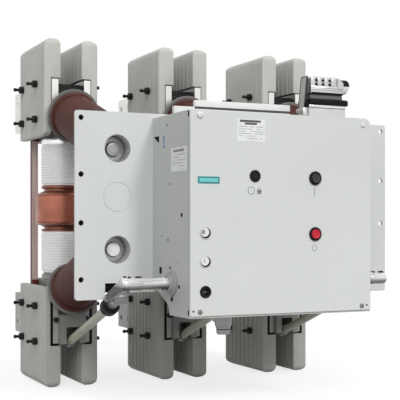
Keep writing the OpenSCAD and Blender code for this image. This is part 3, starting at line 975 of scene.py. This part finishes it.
def push_buttons():
    """Two push buttons with dished caps in black rings."""
    ring = [(9.7, -15), (10.5, -15), (10.5, 0), (13.2, 0), (13.5, 0.4), (13.5, 2.6), (12.6, 3.8), (11.2, 4.0),
            (10.3, 3.4), (9.7, 2.0)]
    cap = [(0, -13), (9.3, -13), (9.3, 4.6), (8.9, 5.4), (8.0, 5.7), (7.4, 5.2), (4.0, 4.7), (0, 4.6)]
    rings = [turned(ring, BUTTONS_X, z, 64) for z in (ON_Z, OFF_Z)]
    piece("button_rings", rings, "black_plastic", ["button_guides"])
    for button, z, coat, slot in (("on", ON_Z, "button_black", "black_plastic"),
                                  ("off", OFF_Z, "button_red", "red_plastic")):
        node = button + "_button"
        piece(node + "_cap", turned(cap, BUTTONS_X, z), coat, [node], button + "_push")


def lock():
    """Key lock: black body and a barrel with its key slit."""
    body = [(0, -9), (9.5, -9), (9.5, 0), (11.2, 0), (11.5, 0.4), (11.5, 1.6), (10.6, 2.6), (8.4, 3.0),
            (7.2, 3.0), (6.4, 2.4), (6.2, 1.0), (0, 1.0)]
    piece("lock_body", turned(body, LOCK_X, LOCK_Z, 56), "black_plastic", ["key_lock"])
    barrel = turned([(0, 1.0), (5.6, 1.0), (5.6, 2.0), (5.1, 2.5), (0, 2.5)], LOCK_X, LOCK_Z, 40)
    slit = slip(-65.0, 37.6, -63.0, 45.4, 1.2, 3.2)
    piece("lock_barrel", cut(barrel, [slit]), "barrel_grey")


def windows():
    """Sight holes: thin pale rim, black well and the white flag that stands inside it."""
    well = [(0, -9), (9.5, -9), (9.5, 0), (10.4, 0), (10.4, 1.2), (8.9, 1.2), (8.6, 0.6), (8.6, -1), (0, -1)]
    rim = [(10.4, 0), (11.3, 0), (11.5, 0.4), (11.5, 1.4), (11.1, 2.0), (10.4, 2.0), (10.0, 1.4), (10.4, 1.2)]
    disc = [(0, -1), (8.5, -1), (8.5, 1.2), (8.1, 1.6), (0, 1.6)]
    wells = [turned(well, WINDOWS_X, z, 56) for z in WINDOW_HEIGHTS]
    rims = [turned(rim, WINDOWS_X, z, 56) for z in WINDOW_HEIGHTS]
    flags = [turned(disc, WINDOWS_X - 1.3, z + 1.4, 40) for z in WINDOW_HEIGHTS]
    marks = [slip(-176.4, -68.0, -169.4, -60.4, 1.5, 1.8, 0.1),
             slip(-171.6, -121.6, -169.8, -113.4, 1.5, 1.8, 0.1)]
    piece("window_wells", wells, "black_plastic", ["indicator_windows"])
    piece("window_rims", rims, "pale_grey")
    piece("window_flags", flags, "white_plastic")
    piece("flag_marks", marks, "mid_grey")


def crank_opening():
    """Bush of the charging crank with its shutter inside."""
    bush = [(5.2, -9), (9.5, -9), (9.5, 0), (11.2, 0), (11.5, 0.4), (11.5, 1.2), (10.8, 2.0), (8.2, 2.0),
            (7.2, 1.4), (7.0, 0.2), (7.0, -6.0), (5.2, -6.2)]
    bush = turned(bush, WINDOWS_X, CRANK_Z, 56)
    piece("crank_bush", bush, "black_plastic", ["crank_socket"])
    disc = turned([(0, -8.8), (5.3, -8.8), (5.3, -6.8), (4.9, -6.4), (0, -6.4)], WINDOWS_X, CRANK_Z, 32)
    bar = slip(-174.0, -177.0, -162.0, -175.0, -2.6, -1.2, 0.4)
    piece("crank_shutter", [disc, bar], "shutter_grey")


def screw_head(x, z, radius):
    """Domed sheet screw with a recessed cross."""
    dome = turned([(0, 0), (radius, 0), (radius, 0.6), (radius * 0.88, 1.9), (radius * 0.6, 2.8), (0, 3.2)],
                  x, z, 32)
    slots = [slip(x - wide, z - tall, x + wide, z + tall, 1.8, 4) for wide, tall in ((2.4, 0.5), (0.5, 2.4))]
    return cut(dome, slots)


def cover_screws():
    """White screws in the cover's upper corners, grey ones and small pins in the lower."""
    piece("cover_screw_left", screw_head(-179, 152.6, 6.2), "white_plastic")
    piece("cover_screw_right", screw_head(181, 148.5, 4.8), "white_plastic")
    washers = [face_disc(6.6, -179.0, 151.8, 0.3, 0.1), face_disc(5.2, 181.2, 148.0, 0.3, 0.1)]
    piece("screw_washers", washers, "screw_grey")
    piece("cover_screws_lower", [screw_head(x, -213, 4.8) for x in (-179, 178)], "screw_grey")
    piece("cover_pins", [face_disc(1.9, x, -211.5, 0.5) for x in (-193, 190)], "dark_shadow")


def rating_label():
    """Label with a heading and rows of plain bars."""
    piece("rating_label", slip(-102, 106.5, -42.5, 149, 0, 0.4, 0.1), "label_film")
    heading = [slip(-96.5, 143.2, -51.5, 147.4, 0.38, 0.5), slip(-86, 138.6, -60, 142.4, 0.38, 0.5)]
    piece("label_heading", heading, "label_ink")
    rows = ((134, -99, -80), (134, -76, -66), (134, -62, -46), (129.5, -99, -70), (129.5, -60, -52),
            (125, -99, -84), (125, -72, -46), (121, -99, -72), (121, -66, -46), (116.5, -99, -88),
            (116.5, -82, -64), (112, -80, -58), (112, -54, -47))
    lines = [slip(x0, z, x1, z + 1.2, 0.38, 0.45) for z, x0, x1 in rows]
    piece("label_lines", lines, "faint_ink")


def maker_plate():
    """Bare teal plate with a lighter field."""
    piece("maker_plate", slip(-184, 25.6, -139, 38.8, 0, 0.8, 0.3), "teal_plate")
    piece("maker_plate_field", slip(-180.5, 28.8, -142.5, 35.6, 0.7, 1.0, 0.1), "teal_field")


def ring_mark(inner, outer, x, z, steps=48):
    """Thin flat ring on the front plate."""
    return turned([(inner, 0), (outer, 0), (outer, 0.25), (inner, 0.25)], x, z, steps)


def symbols():
    """Plain marks under the lock and the buttons."""
    marks = [ring_mark(6.3, 7.6, -71.8, 14), ring_mark(4.6, 5.6, 67.8, -96.5),
             ring_mark(2.6, 3.9, -54.7, 15.6, 32),
             slip(67.0, 5.4, 68.6, 20.8, 0, 0.25), slip(-59.4, 7.2, -50.0, 15.4, 0, 0.25)]
    piece("plain_marks", marks, "mark_ink")


def cable_duct():
    """Flat wiring duct on the box's roof: pale foot, a dark strip as painted shade in the gap under the lid,
    and white lid.
    """
    foot = [block((-199, -112, 162), (56, -102, 173), 0.8),
            block((-199, -112, 172), (-155.4, -102, 176.6), 0.8)]
    piece("duct_foot", foot, "duct_pale", ["wiring_duct"])
    piece("duct_joint", block((-152, -110, 172.6), (53, -102, 178), 0.3), "duct_joint")
    cover = prism([(-155, 177.5), (56, 177.5), (56, 190), (-155, 190)], -112, -102, "XZ", {2: 1.5, 3: 1.5})
    piece("duct_lid", eased(cover, 0.9), "white_plastic")


def connector_socket():
    """Lower half of the many-pole connector, with the sealing band on top of it."""
    foot = [block((80, -145, 162), (166, -103, 187.4), 1.6, 3),
            block((79, -143, 162), (168, -105, 164), 0.5, 1)]
    piece("socket_housing", foot, "pale_grey", ["connector_base"])
    piece("socket_trim", block((80.4, -145.6, 184.6), (167, -102.4, 190.2), 0.9), "chrome")
    line = block((80.8, -145.4, 183.4), (165, -102.6, 184.4), 0.2, 1)
    piece("socket_line", line, "sealing_black")
    band = [block((80.8, -148, 190), (171, -100, 200.6), 1.6, 3),
            block((83, -147, 197), (169, -101, 202), 1.0)]
    piece("sealing_band", band, "sealing_black")


def hood_shell():
    """Smooth lower band and ribbed crown of the connector's hood."""
    band = [(84.5, 213), (159, 213), (162, 216), (162, 228), (84.5, 228)]
    lower = eased(prism(band, -146, -102, "XZ", {1: 2, 2: 2}), 0.9)
    dome = [(84.5, 227.4), (162, 227.4), (162, 236), (151.5, 246.7), (84.5, 246.7)]
    crown = prism(dome, -144, -104, "XZ", {3: 7, 4: 4})
    slots = []
    for x in (97, 113, 129, 145):
        for y in (-146, -108):
            slots.append(block((x - 3.2, y, 226), (x + 3.2, y + 6, 250), 0.8))
    ribs = [block((x - 4.6, -146, 228), (x + 4.6, -102, 246), 1.4, 3) for x in (89.6, 105, 121, 137)]
    piece("hood_body", [lower, cut(crown, slots)] + ribs, "bright_zinc")


def cable_outlet():
    """Round cable outlet at the hood's right end, black above and bright below."""
    profile = [(0, 152), (12.8, 152), (12.8, 161), (14.5, 162), (14.5, 170), (13.5, 171), (13.5, 172.6),
               (14.5, 173.6), (14.5, 179), (13.2, 181), (10, 181), (10, 175), (0, 175)]
    tube = moved(lathe(profile, 56, "X"), 0, OUTLET_Y, OUTLET_Z)
    upper, under = (block((145, -150, 231), (200, -98, end)) for end in (260, 200))
    piece("outlet_shell", combine(tube.copy(), upper, "INTERSECT"), "black_plastic")
    piece("cable_outlet", combine(tube, under, "INTERSECT"), "chrome")


def connector_top():
    """Hood of the connector: grey neck, ribbed clamp body and the cable outlet at its end."""
    throat = [(85.5, 201.6), (160, 201.6), (160, 209), (156, 213.2), (89, 213.2), (85.5, 210)]
    neck = eased(prism(throat, -143, -105, "XZ", {2: 2, 3: 2}), 0.7)
    piece("hood_neck", neck, "neck_grey", ["connector_hood"])
    hood_shell()
    seams = [block((85.6, -146.6, 211.4), (160, -101.4, 215.2), 0.4, 1)]
    for z in (219.6, 223.6):
        seams.append(block((85.6, -146.3, z), (160, -101.7, z + 0.7), 0.1, 1))
    piece("hood_seam", seams, "dark_shadow")
    dots = []
    for x in (97, 113, 129):
        for z in (232, 240):
            dots.append(transformed(drum(2.2, 0, 4.2, 0.4, 16), spot(x, -140, z, "-Y")))
    piece("hood_screws", dots, "dark_shadow")
    cable_outlet()


def plug_latch():
    """Handle that holds the plug down: thin bent plate with turned edges about a cross pin."""
    blade = [(70, 180), (73.4, 180), (79.2, 246.8), (76.9, 246.8)]
    plate = eased(prism(blade, -142.6, -119.4, "XZ"), 0.6)
    eye = [(2.6, -143), (4.4, -143), (5, -142.4), (5, -119.6), (4.4, -119), (2.6, -119)]
    eye = moved(lathe(eye, 32, "Y"), LATCH_X, 0, LATCH_Z)
    piece("latch_handle", [plate, eye], "latch_pale", ["connector_lever"], "latch")
    flange = [(70.2, 184), (73.8, 184), (79.4, 247), (76.8, 247)]
    edges = [prism(flange, y, y + 2.2, "XZ") for y in (-143, -121.2)]
    edges.append(block((76.7, -143, 244.6), (79.3, -119, 247), 0.4))
    piece("latch_edges", edges, "latch_dark", body="latch")
    pin = moved(drum(2.5, -146, -118.4, 0.5, 24, "Y"), LATCH_X, 0, LATCH_Z)
    lugs = [pin, block((66, -146.4, 162), (76, -144.4, 183), 0.8)]
    piece("latch_lugs", lugs, "bright_zinc")
    clamp = [block((71.5, -147.4, 184), (79.4, -144.2, 195), 1.2),
             block((66, -146.8, 163), (70, -144.2, 168), 0.6, 1)]
    piece("latch_clamp", clamp, "dark_shadow")


def gland():
    """Stepped metal gland under the box, narrowing downwards in turned rings."""
    low = [(0, -264), (11.6, -264), (12.8, -262.8), (13.5, -255), (12.4, -254.4), (0, -254.4)]
    mid = [(0, -253.6), (13.2, -253.6), (14, -253), (14.5, -248.8), (14, -248), (0, -248)]
    nut = [(0, -248), (15.4, -248), (16.2, -247), (17, -231), (17, -226.4), (16.2, -225), (0, -225)]
    rings = [lathe(low, 48), lathe(mid, 48), lathe(nut, 56)]
    line = drum(12.6, -254.6, -253.4, 0.2, 48)
    rings = moved(joined(rings), GLAND_X, GLAND_Y, 0)
    piece("gland_body", rings, "gland_metal", ["cable_gland"])
    piece("gland_seal", moved(line, GLAND_X, GLAND_Y, 0), "dark_shadow")


def side_label():
    """Sticker on the box's left side, towards the front."""
    film = block((-200.4, -173.5, 50), (-WALL, -99.5, 95.5), 0.1, 1)
    heading = block((-200.5, -160, 87), (-200.38, -110, 91.5))
    piece("side_label", film, "label_film")
    piece("side_label_heading", heading, "side_ink")
    rows = []
    for z, y0, y1 in ((81, -165, -118), (76, -140, -106), (70.5, -166, -128), (65, -156, -108),
                      (59.5, -166, -134)):
        rows.append(block((-200.45, y0, z), (-200.38, y1, z + 1.4)))
    piece("side_label_lines", rows, "side_faint")


def side_disc(side, y, z, radius, height, bevel):
    """Disc lying on a side wall."""
    return moved(drum(radius, 0, height, bevel, 24, outward(side)), side * WALL, y, z)


def side_slip(side, y0, z0, y1, z1, proud=0.15, bevel=0.0):
    """Thin patch on a side wall between two corners."""
    return block((side * (WALL - 0.5), y0, z0), (side * (WALL + proud), y1, z1), bevel, 1)


def side_fittings():
    """Rivets, blind holes and corner gaps of the folded box; its rounded upper right corner has no gap."""
    heads, holes, welds = [], [], []
    for side in SIDES:
        heads.append(side_disc(side, -136.8, -121, 4.0, 2.0, 0.8))
        heads.append(side_disc(side, -136.8, -187, 2.6, 1.2, 0.5))
        for y, z, radius in ((-79, 142.5, 2.4), (-93.8, 27.6, 2.2), (-149.3, -32.7, 4.2), (-54, -73, 2.0),
                             (-84, -80.4, 2.6), (-94, -134, 3.0), (-137, -168.5, 4.0)):
            holes.append(side_disc(side, y, z, radius, 0.15, 0.02))
        for low, high in ((149, 160), (-219.6, -209))[side > 0:]:
            holes.append(side_slip(side, -182.8, low, -177.5, high, 0.12))
        near, far = sorted((side * 199.5, side * 200.15))
        holes.append(prism([(-13, 124), (-40, 124), (-38, 110)], near, far, "YZ"))
        holes.append(side_slip(side, -53, -147, -41, -134, bevel=0.06))
        for y0, z0, y1, z1 in ((-62, 100, -59.6, 120), (-67, 108, -64.8, 122), (-69, 100, -60, 102.4),
                               (-67, 120, -60, 122)):
            welds.append(side_slip(side, y0, z0, y1, z1, bevel=0.05))
    piece("side_rivets", heads, "bright_zinc")
    piece("side_openings", holes, "dark_shadow")
    piece("side_marks", welds, "blue_mark")


def bearing_trim():
    """Bolts below the shaft's bearings."""
    lugs = [side_disc(side, -106, -187, 3.6, 3.2, 0.8) for side in SIDES]
    heads = [side_disc(side, -105, -194, 4.2, 2.6, 0.8) for side in SIDES]
    heads += [transformed(hex_head(7, 4.2), spot(side * 206, -89, -155, outward(side))) for side in SIDES]
    piece("bearing_lugs", lugs, "eye_plate")
    piece("bearing_bolts", heads, "black_oxide")


def lid_seams():
    """Joint between the folded box and its cover, seen as a thin shadow line."""
    lines = [block((side * 199.2, -182.9, -206), (side * 200.1, -182.3, 144)) for side in SIDES]
    piece("cover_joint", lines, "dark_shadow")


# ---------------------------------------------------------------- stage

def studio():
    """Pale floor that shows the shadow of the object on white."""
    paint = Finish("floor", Specular_IOR_Level=0.0, Roughness=1.0, Emission_Strength=1.0)
    grain = paint.noise(3.0, 2.0)
    rays = [paint.add("LightPath", {}, {}, name) for name in ("Is Camera Ray", "Is Glossy Ray")]
    seen = paint.math("MAXIMUM", *rays)
    tone = paint.mix(seen, even(0.36), paint.mix(grain, even(0.34), even(0.35)))
    paint.done(Base_Color=tone, Emission_Color=paint.mix(seen, even(0.0), even(0.75)))
    bpy.ops.mesh.primitive_plane_add(size=60.0, location=(0, 0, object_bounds()[0].z - 0.0005))
    ground = bpy.context.object
    ground.name = "floor"
    ground.data.materials.append(COATS["floor"])
    return [ground]


def sky(strength):
    """Even soft light; camera, mirror and glass rays see plain white."""
    world = bpy.data.worlds.new("studio")
    bpy.context.scene.world = world
    world.use_nodes = True
    nodes = world.node_tree.nodes
    links = world.node_tree.links
    soft = nodes["Background"]
    soft.inputs["Color"].default_value = even(1.0)
    soft.inputs["Strength"].default_value = strength
    white = nodes.new("ShaderNodeBackground")
    white.inputs["Color"].default_value = even(1.0)
    path = nodes.new("ShaderNodeLightPath")
    seen = path.outputs["Is Camera Ray"]
    for ray in ("Is Glossy Ray", "Is Transmission Ray"):
        either = nodes.new("ShaderNodeMath")
        either.operation = "MAXIMUM"
        links.new(seen, either.inputs[0])
        links.new(path.outputs[ray], either.inputs[1])
        seen = either.outputs[0]
    both = nodes.new("ShaderNodeMixShader")
    for number, output in enumerate((seen, soft.outputs[0], white.outputs[0])):
        links.new(output, both.inputs[number])
    links.new(both.outputs[0], nodes["World Output"].inputs["Surface"])


def hung(name, data):
    """Lamp or camera in the scene."""
    thing = bpy.data.objects.new(name, data)
    bpy.context.scene.collection.objects.link(thing)
    return thing


def sun(name, towards, strength, spread):
    """Far lamp on the side that the vector points to; the spread in degrees softens its shadows."""
    light = bpy.data.lights.new(name, "SUN")
    light.energy = strength
    light.angle = math.radians(spread)
    thing = hung(name, light)
    way = Vector(towards).normalized()
    thing.location = way * 3.0
    thing.rotation_euler = way.to_track_quat("Z", "Y").to_euler()


def camera():
    """Long lens on the operator's side, to the left of the middle."""
    data = bpy.data.cameras.new("camera")
    data.sensor_width = 36.0
    data.lens = 90.09
    data.shift_y = 0.06625
    thing = hung("camera", data)
    thing.location = (-0.9624, -1.8655, -0.0543)
    thing.rotation_euler = Vector((-0.4226, -0.9063, 0)).to_track_quat("Z", "Y").to_euler()
    bpy.context.scene.camera = thing


# ---------------------------------------------------------------- assembly

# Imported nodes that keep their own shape: node, finish, width of the softened corners
DRESSED = (
    # The lower terminals take the darker silver plating, as painted shade
    ("upper_terminals", "silver_plate", 0.8), ("lower_terminals", "dull_silver", 0.8),
    ("struts", "laminate", 0.5), ("switching_shaft", "shaft_steel", 0.8),
    # The bearings take a darker paint, as painted shade
    ("shaft_bearings", "bearing_paint", 1.0), ("mounting_plate", "plate_paint", 0.8),
    # The box's side walls take a darker paint than the cover, as painted shade
    ("mechanism_housing", "housing_paint", 1.2), ("front_plate", "cover_paint", 2.2),
)

for maker, rows in ((powder_coat, PAINTS), (cast_metal, CASTINGS), (plated, PLATINGS), (plastic, PLASTICS)):
    for row in rows:
        maker(*row)
# The shaft's painted highlight and shade sit just under the top of the imported shaft
shaft_top = max(point.co.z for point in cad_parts["switching_shaft"].data.vertices)
drawn_shaft(shaft_top - 0.017, shaft_top - 0.007)
for maker in (
        cast_resin, glazed_ceramic, copper_shield, laminate, glass_fibre, black_oxide, label_film,
        heat_sinks, sink_bolts, insulators, post_bolts, weld_nuts, notch_guards, interrupters, shield_bands,
        clamp_rings, flange_nuts, strut_brackets, cheek_screws, head_covers, bar_gaskets, shaft_trim,
        shaft_grooves, rods, bearing_trim, push_buttons, lock, windows, crank_opening, cover_screws,
        rating_label, maker_plate, symbols, cable_duct, connector_socket, connector_top, plug_latch, gland,
        side_label, side_fittings, lid_seams):
    maker()
for _, level in LEVELS:
    for number in (1, 2, 3):
        dress("%s_head_%d" % (level, number), "cast_head", 2.0)
for node, coat, width in DRESSED:
    dress(node, coat, width)
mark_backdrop(*studio())
sky(0.56)
sun("key", (0.19, -0.80, 0.57), 1.12, 11.0)
sun("fill", (-0.35, -0.75, 0.56), 0.80, 25.0)
sun("low", (-0.78, -0.60, 0.15), 0.22, 40.0)
camera()
bpy.context.scene.view_settings.view_transform = "Standard"
